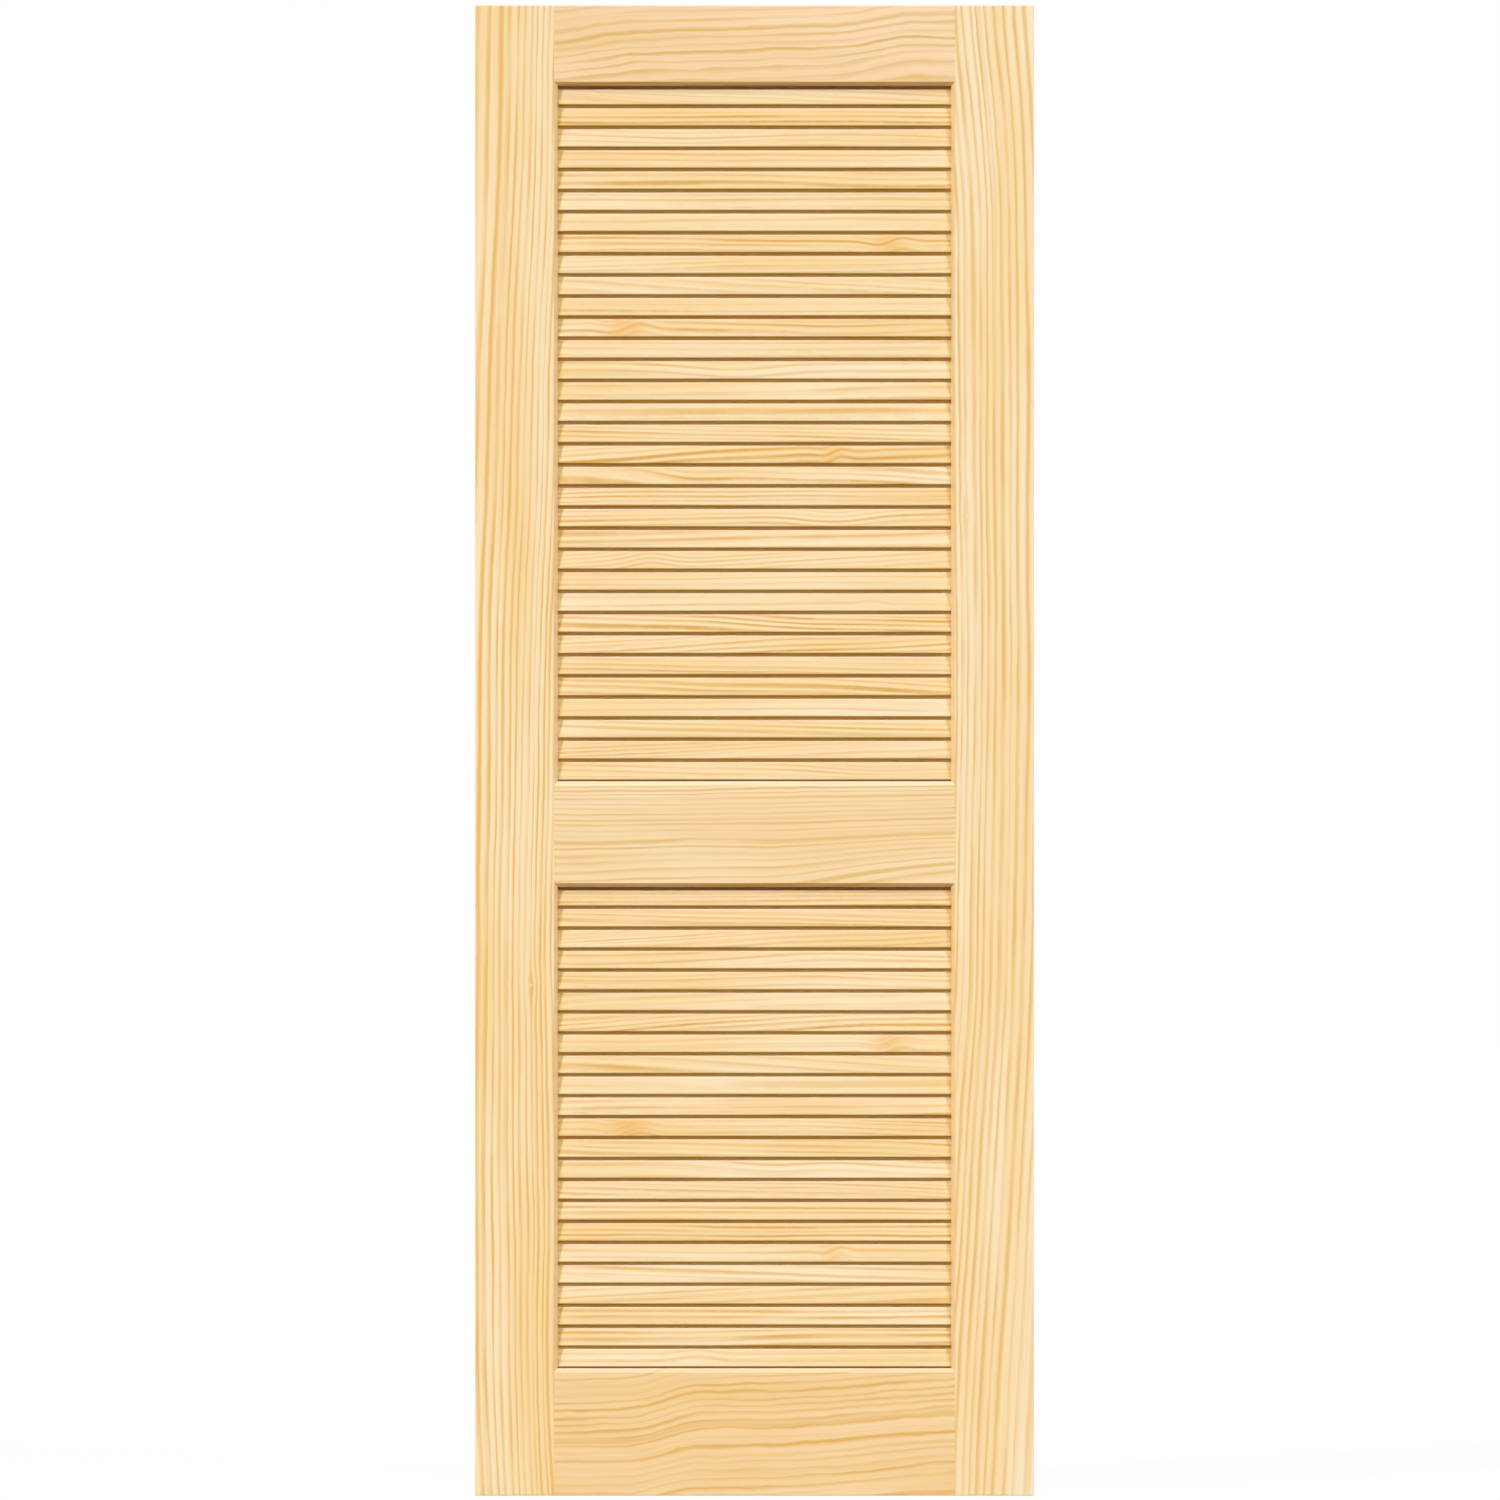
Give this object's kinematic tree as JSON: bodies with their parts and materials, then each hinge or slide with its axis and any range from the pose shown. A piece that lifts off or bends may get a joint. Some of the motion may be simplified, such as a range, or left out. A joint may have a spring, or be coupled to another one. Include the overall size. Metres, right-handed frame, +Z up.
{
  "type": "louvred door",
  "caption": "Full-height louvred door of bare pine: two stiles, three rails and two panels of fixed slanted slats that let air through and block the view; hung on its edge.",
  "frame": {"origin": "middle of the door's width and thickness, at its bottom edge", "axes": "+Z up the door, +X to the right as seen from the front, the front faces -Y"},
  "size_m": [0.762, 0.035, 2.032],
  "materials": {
    "pine_stile": "bare planed pine, vertical grain, unfinished",
    "pine_rail": "bare planed pine, horizontal grain, unfinished",
    "pine_slat": "bare planed pine, grain along the slat, unfinished"
  },
  "bodies": {
    "root": {"bottom_rail": "pine_rail", "left_stile": "pine_stile", "lower_slat_01": "pine_slat", "lower_slat_02": "pine_slat", "lower_slat_03": "pine_slat", "lower_slat_04": "pine_slat", "lower_slat_05": "pine_slat", "lower_slat_06": "pine_slat", "lower_slat_07": "pine_slat", "lower_slat_08": "pine_slat", "lower_slat_09": "pine_slat", "lower_slat_10": "pine_slat", "lower_slat_11": "pine_slat", "lower_slat_12": "pine_slat", "lower_slat_13": "pine_slat", "lower_slat_14": "pine_slat", "lower_slat_15": "pine_slat", "lower_slat_16": "pine_slat", "lower_slat_17": "pine_slat", "lower_slat_18": "pine_slat", "lower_slat_19": "pine_slat", "lower_slat_20": "pine_slat", "lower_slat_21": "pine_slat", "lower_slat_22": "pine_slat", "lower_slat_23": "pine_slat", "mid_rail": "pine_rail", "right_stile": "pine_stile", "top_rail": "pine_rail", "upper_slat_02": "pine_slat", "upper_slat_03": "pine_slat", "upper_slat_04": "pine_slat", "upper_slat_05": "pine_slat", "upper_slat_06": "pine_slat", "upper_slat_07": "pine_slat", "upper_slat_08": "pine_slat", "upper_slat_09": "pine_slat", "upper_slat_10": "pine_slat", "upper_slat_11": "pine_slat", "upper_slat_12": "pine_slat", "upper_slat_13": "pine_slat", "upper_slat_14": "pine_slat", "upper_slat_15": "pine_slat", "upper_slat_16": "pine_slat", "upper_slat_17": "pine_slat", "upper_slat_18": "pine_slat", "upper_slat_19": "pine_slat", "upper_slat_20": "pine_slat", "upper_slat_21": "pine_slat", "upper_slat_22": "pine_slat", "upper_slat_23": "pine_slat", "upper_slat_24": "pine_slat", "upper_slat_25": "pine_slat", "upper_slat_26": "pine_slat", "upper_slat_27": "pine_slat", "upper_slat_28": "pine_slat", "upper_slat_29": "pine_slat", "upper_slat_30": "pine_slat", "upper_slat_31": "pine_slat", "upper_slat_32": "pine_slat", "upper_slat_33": "pine_slat"}
  },
  "joints": []
}
